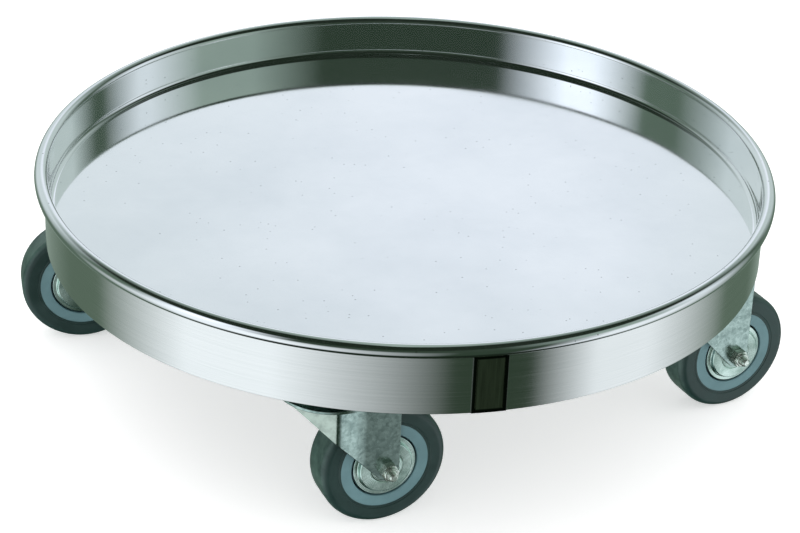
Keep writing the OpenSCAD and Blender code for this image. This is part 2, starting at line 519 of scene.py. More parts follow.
    def bump(self, height: bpy.types.NodeSocket, strength: float, depth: float,
             under: bpy.types.NodeSocket | None = None) -> bpy.types.NodeSocket:
        """A bumped normal, over another one if there is one under it.

        Args:
            height: the height of the bumps, from 0 to 1.
            strength: how much of the bump is used.
            depth: how deep the bumps are, in millimetres.
            under: the normal under it, or None.

        Returns:
            The normal.
        """
        node = self.tree.nodes.new("ShaderNodeBump")
        node.inputs["Strength"].default_value = strength
        node.inputs["Distance"].default_value = depth * MM
        self.link(height, node.inputs["Height"])
        if under is not None:
            self.link(under, node.inputs["Normal"])
        return node.outputs["Normal"]

    def finish(self, colour: bpy.types.NodeSocket, roughness: bpy.types.NodeSocket,
               normal: bpy.types.NodeSocket | None, **constants: float) -> bpy.types.Material:
        """Joins the colour, roughness and normal to the surface and sets its constants.

        Args:
            colour: the base colour.
            roughness: the roughness.
            normal: the normal, or None.
            constants: other sockets by name, with _ for a space.

        Returns:
            The finished material.
        """
        self.link(colour, self.surface.inputs["Base Color"])
        self.link(roughness, self.surface.inputs["Roughness"])
        if normal is not None:
            self.link(normal, self.surface.inputs["Normal"])
        for socket, value in constants.items():
            self.surface.inputs[socket.replace("_", " ")].default_value = value
        return self.material


@dataclass(frozen=True)
class PolishedSteel:
    """Bright polished stainless sheet with faint hairlines, cloudy haze and a few specks."""

    name: str = "polished_stainless"
    light: Colour = (0.93, 0.94, 0.94)
    dull: Colour = (0.85, 0.87, 0.88)
    speck: Colour = (0.40, 0.42, 0.42)

    def make(self) -> bpy.types.Material:
        """Builds the material.

        Returns:
            The finished material.
        """
        w = Wiring(self.name)
        haze = w.noise(7.0, 5.0, 0.6)
        colour = w.ramp(haze, [(0.30, self.dull), (0.62, self.light)])
        specks = w.ramp(w.cells(105.0), [(0.050, self.speck), (0.085, (1.0, 1.0, 1.0))])
        sparse = w.ramp(w.noise(16.0, 2.0), [(0.50, (0.0, 0.0, 0.0)), (0.60, (1.0, 1.0, 1.0))])
        colour = w.tinted(colour, self._thinned(w, specks, sparse), 0.75)
        hair = w.noise(60.0, 6.0, 0.7, w.stretched((1.0, 14.0, 3.0)))
        roughness = w.maths("ADD", w.span(haze, 0.11, 0.045, 0.3, 0.7), w.span(hair, -0.012, 0.02))
        fine = w.bump(hair, 0.06, 0.05)
        normal = w.bump(w.noise(5.5, 2.0), 0.10, 3.0, fine)
        return w.finish(colour, roughness, normal, Metallic=1.0)

    @staticmethod
    def _thinned(w: Wiring, specks: bpy.types.NodeSocket, sparse: bpy.types.NodeSocket
                 ) -> bpy.types.NodeSocket:
        """The specks, left only where the sparse mask is dark.

        Args:
            w: the material's wiring.
            specks: the specks' colour.
            sparse: the mask.

        Returns:
            The thinned colour.
        """
        node = w.tree.nodes.new("ShaderNodeMix")
        node.data_type = "RGBA"
        node.blend_type = "LIGHTEN"
        node.inputs["Factor"].default_value = 1.0
        w.link(specks, node.inputs[6])
        w.link(sparse, node.inputs[7])
        return node.outputs[2]


@dataclass(frozen=True)
class BrushedSteel:
    """Stainless band brushed along its length, so that its lines run round the tray."""

    name: str = "brushed_stainless"
    light: Colour = (0.93, 0.93, 0.91)
    dark: Colour = (0.84, 0.85, 0.83)

    def make(self) -> bpy.types.Material:
        """Builds the material.

        Returns:
            The finished material.
        """
        w = Wiring(self.name)
        lines = w.noise(18.0, 5.0, 0.65, w.stretched((0.35, 0.35, 60.0)))
        cloud = w.noise(5.0, 3.0)
        colour = w.ramp(w.maths("ADD", w.maths("MULTIPLY", lines, 0.7), w.maths("MULTIPLY", cloud, 0.3)),
                        [(0.36, self.dark), (0.62, self.light)])
        roughness = w.span(lines, 0.09, 0.17, 0.3, 0.7)
        normal = w.bump(lines, 0.07, 0.04)
        tangent = w.tree.nodes.new("ShaderNodeTangent")
        tangent.direction_type = "RADIAL"
        tangent.axis = "Z"
        w.link(tangent.outputs["Tangent"], w.surface.inputs["Tangent"])
        return w.finish(colour, roughness, normal, Metallic=1.0, Anisotropic=0.35,
                        Anisotropic_Rotation=0.25)


@dataclass(frozen=True)
class MirrorSteel:
    """Thin mirror-bright strip with upright polishing marks, and painted shade: near-black where a piece is
    marked, round the strap's border and sides, in place of the dark edge and gap round it.
    """

    name: str = "mirror_stainless"
    light: Colour = (0.58, 0.54, 0.46)
    dark: Colour = (0.34, 0.32, 0.27)
    # painted shade: the near-black of the strap's border
    painted_edge_shade: Colour = (0.03, 0.04, 0.03)

    def make(self) -> bpy.types.Material:
        """Builds the material.

        Returns:
            The finished material.
        """
        w = Wiring(self.name)
        marks = w.noise(40.0, 4.0, 0.6, w.stretched((9.0, 9.0, 0.5)))
        colour = w.ramp(marks, [(0.35, self.dark), (0.65, self.light)])
        # painted shade: the marked border and sides turn near-black
        colour = w.mixed(w.span(w.attribute(PAINTED_EDGE_SHADE), 0.0, 1.0, 0.08, 0.30), colour, self.painted_edge_shade)
        roughness = w.span(marks, 0.06, 0.12)
        return w.finish(colour, roughness, w.bump(marks, 0.08, 0.05), Metallic=1.0)


@dataclass(frozen=True)
class ZincPlate:
    """Zinc-plated pressed steel: mottled and slightly green, with a painted highlight where a piece is marked
    for it: the fork's front wings are painted paler and less metallic in place of the bright light they
    mirror.
    """

    name: str = "mottled_zinc"
    light: Colour = (0.52, 0.66, 0.61)
    dark: Colour = (0.29, 0.39, 0.36)
    # painted highlight: the paler colour and lower metalness of the marked front wings
    painted_highlight: Colour = (0.58, 0.72, 0.66)
    patch: float = 420.0
    roughness: Point = (0.14, 0.28)
    metal: float = 1.0
    painted_highlight_metal: float = 0.25

    def make(self) -> bpy.types.Material:
        """Builds the material.

        Returns:
            The finished material.
        """
        w = Wiring(self.name)
        cloud = w.noise(120.0, 5.0, 0.66)
        blend = w.maths("ADD", w.maths("MULTIPLY", w.patches(self.patch), 0.22),
                        w.maths("MULTIPLY", cloud, 0.78))
        colour = w.ramp(blend, [(0.34, self.dark), (0.64, self.light)])
        # painted highlight: on the marked wings, paler colour and less metal where the clouds allow, standing
        # in for a reflection
        wear_and_painted_highlight = w.maths("MULTIPLY", w.attribute(PAINTED_HIGHLIGHT), w.span(cloud, 0.72, 1.0, 0.35, 0.6))
        colour = w.mixed(wear_and_painted_highlight, colour, self.painted_highlight)
        w.link(w.span(wear_and_painted_highlight, self.metal, self.painted_highlight_metal), w.surface.inputs["Metallic"])
        roughness = w.span(w.noise(160.0, 4.0, 0.6), *self.roughness, 0.3, 0.7)
        scuffs = w.noise(90.0, 5.0, 0.7, w.stretched((1.0, 1.0, 5.0)))
        return w.finish(colour, roughness, w.bump(scuffs, 0.10, 0.08, w.bump(cloud, 0.14, 0.10)))


@dataclass(frozen=True)
class BrightSteel:
    """Ground or drawn bright steel with fine grain and a trace of oil."""

    name: str = "bright_steel"
    light: Colour = (0.86, 0.88, 0.88)
    dark: Colour = (0.62, 0.65, 0.65)
    roughness: Point = (0.12, 0.26)

    def make(self) -> bpy.types.Material:
        """Builds the material.

        Returns:
            The finished material.
        """
        w = Wiring(self.name)
        grain = w.noise(420.0, 4.0, 0.6)
        film = w.noise(60.0, 3.0)
        colour = w.ramp(film, [(0.35, self.dark), (0.60, self.light)])
        roughness = w.span(grain, *self.roughness, 0.3, 0.7)
        return w.finish(colour, roughness, w.bump(grain, 0.06, 0.03), Metallic=1.0)


@dataclass(frozen=True)
class PressedSteel:
    """Bright pressed disc with rings left by the tool, read from each point's distance to the axle."""

    name: str = "pressed_disc_steel"
    light: Colour = (0.78, 0.95, 0.87)
    dark: Colour = (0.46, 0.62, 0.54)

    def make(self) -> bpy.types.Material:
        """Builds the material.

        Returns:
            The finished material.
        """
        w = Wiring(self.name)
        away = w.attribute(AXLE_DISTANCE)
        rings = w.maths("SINE", w.maths("MULTIPLY", away, math.tau / (0.9 * MM)), 0.0)
        cloud = w.noise(70.0, 3.0)
        colour = w.ramp(cloud, [(0.35, self.dark), (0.60, self.light)])
        roughness = w.span(cloud, 0.10, 0.22, 0.3, 0.7)
        return w.finish(colour, roughness, w.bump(rings, 0.35, 0.12), Metallic=1.0)


@dataclass(frozen=True)
class MillSteel:
    """Rolled steel section with mill haze and rub marks."""

    name: str = "mill_steel"
    light: Colour = (0.60, 0.62, 0.62)
    dark: Colour = (0.36, 0.38, 0.38)

    def make(self) -> bpy.types.Material:
        """Builds the material.

        Returns:
            The finished material.
        """
        w = Wiring(self.name)
        cloud = w.noise(14.0, 6.0, 0.65)
        rub = w.noise(55.0, 5.0, 0.7, w.stretched((1.0, 1.0, 6.0)))
        colour = w.ramp(w.maths("ADD", w.maths("MULTIPLY", cloud, 0.6), w.maths("MULTIPLY", rub, 0.4)),
                        [(0.35, self.dark), (0.65, self.light)])
        roughness = w.span(rub, 0.32, 0.55, 0.3, 0.7)
        return w.finish(colour, roughness, w.bump(rub, 0.15, 0.08), Metallic=1.0)


@dataclass(frozen=True)
class HubPlastic:
    """Moulded blue-grey nylon with a fine spark texture and light rubbing."""

    name: str = "grey_nylon"
    light: Colour = (0.125, 0.245, 0.265)
    dark: Colour = (0.098, 0.198, 0.216)

    def make(self) -> bpy.types.Material:
        """Builds the material.

        Returns:
            The finished material.
        """
        w = Wiring(self.name)
        grain = w.noise(900.0, 3.0, 0.6)
        cloud = w.noise(35.0, 4.0)
        colour = w.ramp(cloud, [(0.35, self.dark), (0.65, self.light)])
        roughness = w.span(grain, 0.38, 0.52, 0.3, 0.7)
        return w.finish(colour, roughness, w.bump(grain, 0.12, 0.05), Metallic=0.0)


@dataclass(frozen=True)
class TyreRubber:
    """Dark slate rubber, dusty on the tread, with faint turned lines on its walls."""

    name: str = "slate_rubber"
    wall: Colour = (0.016, 0.046, 0.041)
    shade: Colour = (0.009, 0.031, 0.027)
    tread: Colour = (0.062, 0.122, 0.100)
    tread_start: float = 49.0
    tread_end: float = 52.0

    def make(self) -> bpy.types.Material:
        """Builds the material.

        Returns:
            The finished material.
        """
        w = Wiring(self.name)
        cloud = w.noise(40.0, 5.0, 0.6)
        away = w.attribute(AXLE_DISTANCE)
        colour = w.ramp(cloud, [(0.35, self.shade), (0.65, self.wall)])
        wear_and_painted_highlight = w.maths("MULTIPLY", w.span(away, 0.0, 1.0, self.tread_start * MM, self.tread_end * MM),
                       w.span(w.noise(90.0, 5.0, 0.7), 0.2, 1.0, 0.35, 0.65))
        colour = w.mixed(wear_and_painted_highlight, colour, self.tread)
        grain = w.noise(700.0, 4.0, 0.65)
        rings = w.maths("SINE", w.maths("MULTIPLY", away, math.tau / (1.2 * MM)), 0.0)
        roughness = w.span(cloud, 0.30, 0.44, 0.3, 0.7)
        normal = w.bump(rings, 0.04, 0.05, w.bump(grain, 0.18, 0.06))
        return w.finish(colour, roughness, normal, Metallic=0.0)


class Finishes:
    """Every finish, made once and shared by the pieces."""

    def __init__(self) -> None:
        """Makes the materials."""
        self.polished = PolishedSteel().make()
        self.brushed = BrushedSteel().make()
        self.mirror = MirrorSteel().make()
        self.zinc = ZincPlate().make()
        self.fastener = ZincPlate("fastener_zinc", (0.90, 0.96, 0.89), (0.50, 0.60, 0.52), patch=500.0,
                                  roughness=(0.06, 0.14), metal=0.90).make()
        self.bright = BrightSteel().make()
        self.disc = PressedSteel().make()
        self.mill = MillSteel().make()
        self.nylon = HubPlastic().make()
        self.rubber = TyreRubber().make()


# ---------------------------------------------------------------- pieces


@dataclass
class Dressing:
    """What turns a bmesh into a finished piece: its name, place, body, finish and the node it stands for."""

    name: str
    node: str
    body: str
    slot: str
    material: bpy.types.Material
    edge: float = 0.0
    edge_segments: int = 2
    sharp: float = SHARP_ANGLE

    def finish(self, bm: Mesh, place: Matrix | None = None) -> bpy.types.Object:
        """Makes the object, smooths it and hands it to the frame.

        Args:
            bm: the shaped mesh, which is freed.
            place: where the mesh goes, if it isn't there yet.

        Returns:
            The finished piece.
        """
        if place is not None:
            bmesh.ops.transform(bm, matrix=place, verts=bm.verts[:])
        mesh = bpy.data.meshes.new(self.name)
        bm.to_mesh(mesh)
        bm.free()
        mesh.shade_smooth()
        mesh.set_sharp_from_angle(angle=self.sharp)
        mesh.materials.append(self.material)
        piece = bpy.data.objects.new(self.name, mesh)
        bpy.context.scene.collection.objects.link(piece)
        if self.edge:
            self._soften(piece)
        evened = piece.modifiers.new("evened_shading", "WEIGHTED_NORMAL")
        evened.keep_sharp = True
        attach(piece, self.body)
        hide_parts(self.node)
        LOG.info("%s rides on %s and stands for %s", self.name, self.body, self.node)
        return piece

    def _soften(self, piece: bpy.types.Object) -> None:
        """Takes the sharpness off the piece's edges.

        Args:
            piece: the piece.
        """
        bevel = piece.modifiers.new("softened_edges", "BEVEL")
        bevel.width = self.edge * MM
        bevel.segments = self.edge_segments
        bevel.limit_method = "ANGLE"
        bevel.angle_limit = self.sharp
        bevel.miter_outer = "MITER_ARC"


def keep_node(node: str, material: bpy.types.Material) -> None:
    """Shows a CAD node as it is, with a finish of its own.

    Args:
        node: the node's name.
        material: its finish.
    """
    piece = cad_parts[node]
    piece.data.materials.clear()
    piece.data.materials.append(material)
    LOG.info("%s is the CAD node in %s", node, material.name)


def mark_axle_distance(bm: Mesh) -> None:
    """Stores each vertex's distance to the Z axis, for patterns that run round the axle.

    Args:
        bm: the shape, before it is laid on the axle.
    """
    layer = bm.verts.layers.float.new(AXLE_DISTANCE)
    for vert in bm.verts:
        vert[layer] = vert.co.xy.length


@dataclass
class Tray:
    """The round pan with its rolled rim, the band round it and the strap on the band's joint.

    Sizes are in millimetres and angles in degrees.
    """

    finishes: Finishes
    wall_in: float = 294.0
    deck: float = 163.5
    sheet: float = 1.5
    fillet: float = 5.0
    bead_x: float = 299.5
    bead_z: float = 193.0
    curl_turn: float = 312.0
    band_in: float = 295.8
    band_bottom: float = 137.5
    band_top: float = 187.66
    band_sheet: float = 1.5
    strap_width: float = 27.0
    strap_sheet: float = 1.2
    strap_bottom: float = 137.8
    strap_top: float = 187.2
    strap_heading: float = -110.0
    # width of the strap's border that is painted near-black as shade
    strap_shade_border: float = 4.0
    steps: int = 288

    def build(self) -> None:
        """Builds and dresses every piece of the tray."""
        done = self.finishes
        Dressing("polished_pan", "tray_pan", "tray", "polished_steel", done.polished,
                 sharp=math.radians(50)).finish(self.pan())
        Dressing("brushed_band", "skirt_band", "tray", "brushed_steel", done.brushed).finish(self.band())
        Dressing("joint_cover", "joint_strap", "tray", "mirror_steel", done.mirror,
                 edge=0.35).finish(self.strap())
        keep_node("rim_wire", done.bright)

    def pan(self) -> Mesh:
        """The pan's sheet: deck, rounded corner, wall and the rim rolled over a wire.

        Returns:
            The sheet with its thickness.
        """
        bm = bmesh.new()
        spots = [(0.0, self.deck), (self.wall_in * 0.5, self.deck), (self.wall_in, self.deck),
                 (self.wall_in, self.bead_z)]
        verts = [bm.verts.new((x * MM, 0, z * MM)) for x, z in spots]
        edges = [bm.edges.new(pair) for pair in zip(verts, verts[1:])]
        bmesh.ops.bevel(bm, geom=[verts[2]], offset=self.fillet * MM, offset_type="OFFSET", segments=8,
                        profile=0.5, affect="VERTICES", material=-1)
        top = max(bm.verts, key=lambda v: v.co.z)
        bmesh.ops.spin(bm, geom=[top], cent=(self.bead_x * MM, 0, self.bead_z * MM), axis=(0, 1, 0),
                       dvec=(0, 0, 0), angle=math.radians(self.curl_turn), steps=26, use_merge=False,
                       use_normal_flip=False, use_duplicate=False)
        spin_round(bm, self.steps)
        middle = min(bm.faces, key=lambda f: f.calc_center_median().xy.length)
        if middle.normal.z < 0:
            bmesh.ops.reverse_faces(bm, faces=bm.faces[:])
        bmesh.ops.solidify(bm, geom=bm.faces[:], thickness=self.sheet * MM)
        return bm

    def band(self) -> Mesh:
        """The band round the pan, with its edges rubbed smooth.

        Returns:
            The closed band.
        """
        out = self.band_in + self.band_sheet
        corners = [(self.band_in, self.band_bottom), (out, self.band_bottom), (out, self.band_top),
                   (self.band_in, self.band_top)]
        return turned(corners, {0: 0.4, 1: 0.5, 2: 0.4, 3: 0.4}, self.steps, 3)

    def strap(self) -> Mesh:
        """The thin strap that covers the band's joint.

        Returns:
            The bent strip in its place.
        """
        inner = self.band_in + self.band_sheet
        outer = inner + self.strap_sheet
        sweep = self.strap_width / outer
        bm = section([(inner, self.strap_bottom), (outer, self.strap_bottom), (outer, self.strap_top),
                      (inner, self.strap_top)])
        bmesh.ops.spin(bm, geom=bm.verts[:] + bm.edges[:] + bm.faces[:], cent=(0, 0, 0), axis=(0, 0, 1),
                       dvec=(0, 0, 0), angle=sweep, steps=12, use_merge=False, use_normal_flip=False,
                       use_duplicate=False)
        bmesh.ops.recalc_face_normals(bm, faces=bm.faces[:])
        self._mark_painted_shade(bm, outer)
        start = math.radians(self.strap_heading) - sweep / 2
        bmesh.ops.transform(bm, matrix=turn(start), verts=bm.verts[:])
        return bm

    def _mark_painted_shade(self, bm: Mesh, outer: float) -> None:
        """Sets a narrow border in round the strap's outer face and marks the border, sides and back for
        painted shade, which its finish paints near-black in place of the dark edge round the strap.

        Args:
            bm: the strap.
            outer: the radius of its outer face, in millimetres.
        """
        layer = bm.verts.layers.float.new(PAINTED_EDGE_SHADE)
        for vert in bm.verts:
            vert[layer] = 1.0
        face = [f for f in bm.faces if all(v.co.xy.length > (outer - 0.1) * MM for v in f.verts)]
        bmesh.ops.inset_region(bm, faces=face, thickness=self.strap_shade_border * MM, use_even_offset=True,
                               use_boundary=True)
        for vert in {v for f in face for v in f.verts}:
            vert[layer] = 0.0


@dataclass
class Underframe:
    """The crossed box beams under the deck, the pads that the casters bolt to and their fasteners.

    Sizes are in millimetres.
    """

    finishes: Finishes
    mount: float = 137.5
    pad: float = 4.0
    top: float = 162.0
    width: float = 30.0
    wall: float = 2.0
    end: float = 289.8
    swivel_r: float = 244.0
    plate_size: Point = (70.0, 95.0)
    holes: Point = (45.0, 75.0)
    hole_r: float = 4.25
    beam_corners: Point = (3.0, 1.2)
    pad_corner: float = 4.0
    plate_sheet: float = 2.5
    spanner: float = 13.0
    bolt_r: float = 4.0
    head_h: float = 5.3
    past_nut: float = 2.0
    nut_h: float = 6.5
    nut_bore: float = 4.05
    washer_r: Point = (4.2, 7.2)
    washer_h: float = 1.6

    def build(self) -> None:
        """Builds and dresses every piece of the underframe."""
        done = self.finishes
        Dressing("box_beam_long", "long_beam", "tray", "frame_steel", done.mill).finish(
            self.beam(-self.end), turn(math.radians(45)))
        Dressing("box_beams_short", "short_beams", "tray", "frame_steel", done.mill).finish(
            placed(self.beam(self.width / 2), turn(math.radians(135)), turn(math.radians(315))))
        Dressing("mounting_pads", "caster_pads", "tray", "frame_steel", done.mill, edge=0.4).finish(
            placed(self.pad_plate(), *self.plates()))
        for name, node, shape in (("hex_bolts", "mounting_bolts", self.bolt()),
                                  ("flat_washers", "mounting_washers", self.washer()),
                                  ("hex_nuts", "mounting_nuts", self.nut())):
            Dressing(name, node, "tray", "zinc_fasteners", done.fastener).finish(
                placed(shape, *self.hole_places()))

    def plates(self) -> list[Matrix]:
        """The four caster plates' places."""
        return [turn(c.azimuth) @ moved(self.swivel_r, 0, 0) for c in Corner]

    def hole_places(self) -> list[Matrix]:
        """The sixteen bolt holes' places."""
        half_x, half_y = self.holes[0] / 2, self.holes[1] / 2
        return [plate @ moved(x, y, 0) for plate in self.plates()
                for x in (-half_x, half_x) for y in (-half_y, half_y)]

    def hole_lines(self) -> list[list[Point]]:
        """The outlines of a plate's four bolt holes."""
        half_x, half_y = self.holes[0] / 2, self.holes[1] / 2
        return [circle_line(self.hole_r, (x, y), 24) for x in (-half_x, half_x) for y in (-half_y, half_y)]

    def beam(self, start: float) -> Mesh:
        """A length of box section along X, with rounded corners and open ends.

        Args:
            start: where it starts on X, in millimetres.

        Returns:
            The hollow beam, up to the tray's wall.
        """
        bottom = self.mount + self.pad
        height = self.top - bottom
        length = self.end - start
        corner, inner_corner = self.beam_corners
        outer = rounded_plate_line(self.width, height, corner, 4)
        inner = rounded_plate_line(self.width - 2 * self.wall, height - 2 * self.wall, inner_corner, 4)
        bm = extruded([outer, inner], 0, length)
        upright = moved(start, 0, bottom + height / 2) @ turn(math.radians(90), "Z") @ turn(
            math.radians(90), "X")
        bmesh.ops.transform(bm, matrix=upright, verts=bm.verts[:])
        return bm

    def pad_plate(self) -> Mesh:
        """A pad with its four bolt holes."""
        outline = rounded_plate_line(*self.plate_size, self.pad_corner)
        return extruded([outline, *self.hole_lines()], self.mount, self.pad)

    def bolt(self) -> Mesh:
        """A mounting bolt, head down, with the end of its thread above the nut.

        Returns:
            The bolt, with its axis on Z.
        """
        start = self.mount - self.plate_sheet - 0.5
        end = self.mount + self.pad + self.washer_h + self.nut_h + self.past_nut
        core = self.bolt_r - 0.4
        shank = turned([(0, start), (core, start), (core, end - 0.4), (core - 0.7, end), (0, end)], steps=20)
        ridge = thread(self.bolt_r, 0.6, THREAD_PITCH, 3.0, end - 4.6)
        head = hexagon(self.spanner, self.mount - self.plate_sheet - self.head_h, self.head_h)
        return merged([shank, ridge, head])

    def washer(self) -> Mesh:
        """A plain washer with round edges.

        Returns:
            The washer on its pad.
        """
        bottom, (inner, outer) = self.mount + self.pad, self.washer_r
        top = bottom + self.washer_h
        return turned([(inner, bottom), (outer, bottom), (outer, top), (inner, top)], {1: 0.4, 2: 0.4}, 24, 2)

    def nut(self) -> Mesh:
        """A hexagon nut on its washer."""
        return hexagon(self.spanner, self.mount + self.pad + self.washer_h, self.nut_h, self.nut_bore)


@dataclass
class Caster:
    """One swivel caster, drawn once and then set at each corner.

    Its swivel axis is on Z and its wheel trails along X. Sizes are in millimetres, and the swivel
    head's heights are measured down from the underframe's mounting face.
    """

    finishes: Finishes
    frame_work: Underframe
    trail: float = 40.0
    axle_z: float = 52.0

    # swivel head
    bore_r: float = 6.05
    plate_corner: float = 6.0
    dish_r: float = 31.0
    dish_steps: Sequence[Point] = (
        (30.3, 0.25), (29.2, 1.3), (28.2, 2.6), (27.4, 3.25), (26.4, 3.5), (6.05, 3.5))
    pin_r: float = 6.0
    pin_head_r: float = 11.0
    pin_head: Point = (0.3, 3.4)
    rivet_r: float = 9.5
    rivet: Point = (19.3, 22.3)
    seat_r: float = 18.0
    seat: Point = (15.8, 19.2)
    groove: Point = (10.2, 15.8)
    groove_deep: float = 1.1

    # fork
    leg_out: float = 21.3
    sheet: float = 2.5
    head_r: float = 44.0
    head_bore: float = 7.0
    fork_top: float = 127.5
    foot_r: float = 10.0
    waist_x: float = 17.0
    brow_x: float = -3.0
    flare: float = 3.0
    front: Point = (-41.0, 12.0)
    bends: Point = (5.0, 3.0)
    slant: float = 47.5
    # x ahead of which the fork's front wing is marked for the painted highlight
    painted_highlight_end: float = -4.5

    # axle and its covers
    axle_r: float = 4.0
    thread_deep: float = 0.65
    thread_turns: float = 10.4
    collar_r: float = 5.8
    collar_h: float = 2.5
    tip_h: float = 5.0
    cover_in: float = 17.7
    cover_lift: float = 1.4
    cover_sheet: float = 1.0
    cover_bore: float = 4.2
    cover_step: float = 20.6
    cover_ring: float = 13.2
    cover_r: float = 26.0

    # wheel
    hub_bore: float = 8.0
    bearing_seat: float = 16.0
    boss_r: float = 19.5
    boss_w: float = 17.0
    web: float = 4.0
    bearing_in: float = 7.0
    bearing_out: float = 15.95
    shield: Point = (8.5, 13.0)
    tyre_r: float = 52.0
    tyre_half: float = 15.5
    tread_r: float = 36.5
    recess_r: float = 27.5
    shoulder: float = 6.0
    mould_line: float = 0.12
    wall_groove: float = 0.35

    def build(self) -> None:
        """Builds each piece once and sets a copy of it at every corner."""
        done = self.finishes
        zinc, bright, nuts = "zinc_plate", "bright_steel", "zinc_fasteners"
        plate = [
            ("swivel_plate", "top_plate", zinc, done.zinc, self.top_plate(), 0.35),
            ("king_pin", "kingpin", zinc, done.fastener, self.kingpin(), 0.0),
            ("ball_seat", "lower_race", zinc, done.zinc, self.lower_race(), 0.0),
        ]
        swivel = [
            ("pressed_fork", "fork", zinc, done.zinc, self.fork(), 0.35),
            ("axle_screw", "axle_bolt", nuts, done.fastener, self.axle_bolt(), 0.0),
            ("lock_nut", "axle_nut", nuts, done.fastener, self.axle_nut(), 0.0),
            ("cover_discs", "dust_covers", "pressed_steel", done.disc, self.covers(), 0.0),
        ]
        wheel = [
            ("nylon_hub", "wheel_hub", "hub_plastic", done.nylon, self.hub(), 0.0),
            ("ball_bearings", "wheel_bearings", bright, done.bright, self.bearings(), 0.0),
            ("rubber_tyre", "tyre", "tyre_rubber", done.rubber, self.tyre(), 0.0),
        ]
        for body, rows in ((Body.TRAY, plate), (Body.SWIVEL, swivel), (Body.WHEEL, wheel)):
            for row in rows:
                self._set_out(body, *row)
        for corner in Corner:
            keep_node(f"{corner.label}_bearing_balls", done.bright)
            keep_node(f"{corner.label}_axle_sleeve", done.bright)

    def _set_out(self, body: Body, name: str, node: str, slot: str, material: bpy.types.Material,
                 shape: Mesh, edge: float) -> None:
        """Sets a copy of one shape at every corner.

        Args:
            body: the body that the copies ride on.
            name: the piece's name.
            node: the CAD node that it stands for.
            slot: its material slot's name, which is not used.
            material: its finish.
            shape: the shape, which is freed.
            edge: how far its edges are softened, in millimetres.
        """
        for corner in Corner:
            Dressing(f"{corner.label}_{name}", f"{corner.label}_{node}", body.at(corner), slot, material,
                     edge=edge).finish(shape.copy(), self.place(body, corner))
        shape.free()

    def place(self, body: Body, corner: Corner) -> Matrix:
        """Where a piece of a body goes at a corner.

        Args:
            body: the body that the piece rides on.
            corner: the caster's corner.

        Returns:
            The matrix from the caster's own frame.
        """
        spot = turn(corner.azimuth) @ moved(self.frame_work.swivel_r, 0, 0)
        if body is Body.TRAY:
            return spot
        return Matrix.Translation(spot.to_translation()) @ turn(corner.heading)

    def about_axle(self, bm: Mesh) -> Mesh:
        """Lays a turned shape on the axle, its upper end towards the nut, and marks its rings.

        Args:
            bm: the shape, turned round Z.

        Returns:
            The same shape on the axle.
        """
        mark_axle_distance(bm)
        axle = moved(self.trail, 0, self.axle_z) @ turn(math.radians(90), "X")
        bmesh.ops.transform(bm, matrix=axle, verts=bm.verts[:])
        return bm

    # swivel head

    def top_plate(self) -> Mesh:
        """The bolting plate with the round dish pressed down for the balls.

        Returns:
            The plate with its thickness.
        """
        face = self.frame_work.mount
        outline = rounded_plate_line(*self.frame_work.plate_size, self.plate_corner)
        bm = bmesh.new()
        loops = [outline, *self.frame_work.hole_lines(), circle_line(self.dish_r, count=64)]
        for line in loops:
            verts = [bm.verts.new((x * MM, y * MM, face * MM)) for x, y in line]
            for a, b in zip(verts, verts[1:] + verts[:1]):
                bm.edges.new((a, b))
        bmesh.ops.triangle_fill(bm, use_beauty=True, use_dissolve=False, edges=bm.edges[:])
        rim = [e for e in bm.edges
               if all(abs(v.co.xy.length - self.dish_r * MM) < 0.01 * MM for v in e.verts)]
        for radius, drop in self.dish_steps:
            rim = self._stepped(bm, rim, radius, face - drop)
        bmesh.ops.recalc_face_normals(bm, faces=bm.faces[:])
        if sum(f.normal.z for f in bm.faces) < 0:
            bmesh.ops.reverse_faces(bm, faces=bm.faces[:])
        bmesh.ops.solidify(bm, geom=bm.faces[:], thickness=self.sheet * MM)
        return bm

    @staticmethod
    def _stepped(bm: Mesh, rim: list[bmesh.types.BMEdge], radius: float, height: float
                 ) -> list[bmesh.types.BMEdge]:
        """Extrudes a round rim to another radius and height and returns the new rim.

        Args:
            bm: the plate.
            rim: the round rim's edges.
            radius: the new rim's radius, in millimetres.
            height: its height.

        Returns:
            The new rim's edges.
        """
        made = bmesh.ops.extrude_edge_only(bm, edges=rim)["geom"]
        verts = [g for g in made if isinstance(g, bmesh.types.BMVert)]
        share = radius * MM / verts[0].co.xy.length
        bmesh.ops.scale(bm, vec=(share, share, 1.0), verts=verts)
        bmesh.ops.translate(bm, vec=(0, 0, height * MM - verts[0].co.z), verts=verts)
        return [g for g in made if isinstance(g, bmesh.types.BMEdge)
                and all(v in verts for v in g.verts)]

    def kingpin(self) -> Mesh:
        """The pin that holds the fork to the plate, with a round head and a riveted foot.

        Returns:
            The pin, on Z.
        """
        face = self.frame_work.mount
        (head_top, head_under), (rivet_top, rivet_end) = self.pin_head, self.rivet
        drops = [(0, rivet_end), (self.rivet_r, rivet_end), (self.rivet_r, rivet_top),
                 (self.pin_r, rivet_top), (self.pin_r, head_under), (self.pin_head_r, head_under),
                 (self.pin_head_r, head_top), (0, head_top)]
        return turned([(r, face - drop) for r, drop in drops], {1: 2.0, 2: 0.6, 5: 0.6, 6: 1.4}, 40)

    def lower_race(self) -> Mesh:
        """The washer under the fork's head that the small balls run on.

        Returns:
            The seat, on Z.
        """
        face = self.frame_work.mount
        (top, bottom), (inner, outer) = self.seat, self.groove
        drops = [(self.bore_r, bottom), (self.seat_r, bottom), (self.seat_r, top), (outer, top),
                 ((inner + outer) / 2, top + self.groove_deep), (inner, top), (self.bore_r, top)]
        return turned([(r, face - drop) for r, drop in drops], {1: 1.0, 2: 0.5}, 48)

    # fork

    def fork(self) -> Mesh:
        """The pressed fork: a round head and two legs bent down beside the wheel."""
        return merged([self._leg(), self._far_leg(), self._head()])

